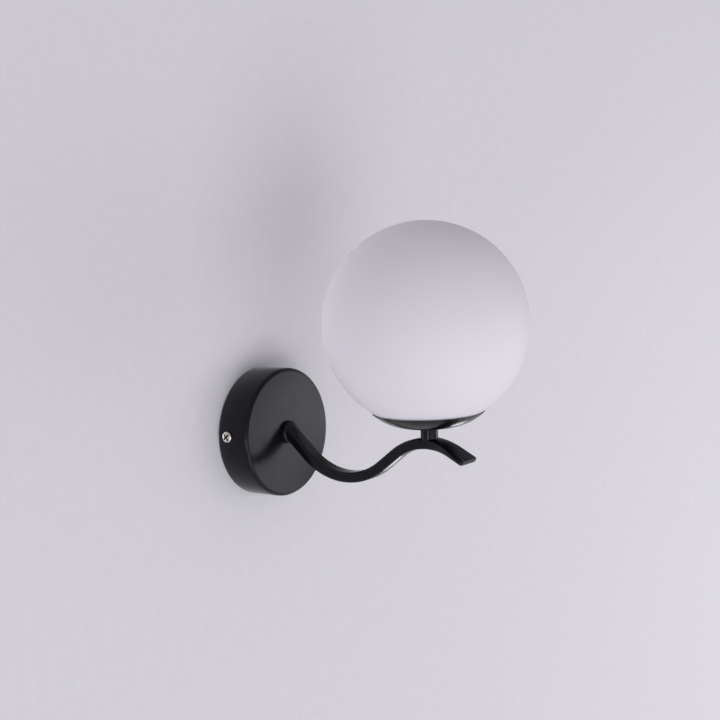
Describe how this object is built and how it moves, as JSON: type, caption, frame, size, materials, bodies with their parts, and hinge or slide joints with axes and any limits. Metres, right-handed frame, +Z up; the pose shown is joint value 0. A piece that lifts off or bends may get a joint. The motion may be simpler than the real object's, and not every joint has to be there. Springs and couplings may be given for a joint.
{
  "type": "globe wall light",
  "caption": "Wall light: round black canopy, wavy flattened-tube arm and short post carrying a dish, lampholder and lift-off opal glass globe over a screw-in lamp.",
  "frame": {"origin": "middle of the canopy on the wall plane, between the two wall slots", "axes": "+Y into the wall, -Y out into the room along the arm, +Z up, +X to the right seen from the room"},
  "size_m": [0.15, 0.235, 0.2125],
  "materials": {
    "black_enamel": "satin black baked enamel",
    "zinc_steel": "bright zinc-plated pressed steel",
    "spring_steel": "bright spring strip",
    "nickel": "nickel plate",
    "brass": "bare brass",
    "tinned_copper": "tinned, dull",
    "white_nylon": "natural white nylon",
    "black_resin": "black moulded resin",
    "white_ceramic": "white glazed ceramic",
    "clear_silicone": "milky silicone",
    "opal_glass": "opal glass, acid-frosted outside",
    "wire_brown": "brown sleeve",
    "wire_blue": "blue sleeve",
    "wire_green": "green and yellow sleeve",
    "black_glass": "black glass",
    "white_plastic": "white moulded plastic",
    "opal_plastic": "opal diffusing plastic",
    "aluminium": "white-coated aluminium board",
    "phosphor": "yellow phosphor",
    "circuit_green": "green solder mask"
  },
  "bodies": {
    "fixture": {"wall_bracket": "zinc_steel", "canopy": "black_enamel", "canopy_screws": "nickel", "terminal_block": "white_nylon", "terminal_inserts": "brass", "terminal_screws": "nickel", "terminal_block_screw": "nickel", "earth_lug": "tinned_copper", "earth_washer": "zinc_steel", "earth_screw": "brass", "earth_wire": "wire_green", "arm_collar": "black_enamel", "arm_nipple": "zinc_steel", "arm_washer": "zinc_steel", "arm_nut": "zinc_steel", "nipple_bush": "white_nylon", "arm": "black_enamel", "live_wire": "wire_brown", "neutral_wire": "wire_blue", "post": "black_enamel", "holder_nipple": "zinc_steel", "dish": "black_enamel", "globe_seal": "clear_silicone", "globe_spring": "spring_steel", "dish_washer": "zinc_steel", "dish_nut": "zinc_steel", "holder_base": "black_resin", "holder_core": "white_ceramic", "holder_skirt": "black_resin", "thread_shell": "nickel", "centre_contact": "brass", "holder_terminals": "brass", "holder_terminal_screws": "nickel", "holder_rivets": "brass"},
    "lamp_lift": {"lamp_tip_contact": "tinned_copper"},
    "lamp": {"lamp_insulator": "black_glass", "lamp_cap": "nickel", "lamp_housing": "white_plastic", "lamp_dome": "opal_plastic", "led_board": "aluminium", "led_chips": "phosphor", "driver_board": "circuit_green", "driver_capacitor": "black_resin"},
    "globe": {"globe": "opal_glass"}
  },
  "joints": [
    {"name": "lamp_rise", "type": "slide", "parent": "fixture", "child": "lamp_lift", "axis": [0, 0, 1], "range_m": [0, 0.0182]},
    {"name": "lamp_turn", "type": "hinge", "parent": "lamp_lift", "child": "lamp", "pos_m": [0, -0.16, 0.08], "axis": [0, 0, 1], "range_deg": [0, 1800]},
    {"name": "globe_lift", "type": "slide", "parent": "fixture", "child": "globe", "axis": [0, 0, 1], "range_m": [0, 0.14]}
  ],
  "couplings": [
    {"joint": "lamp_rise", "follows": "lamp_turn", "m_per_rad": 0.00057757}
  ]
}
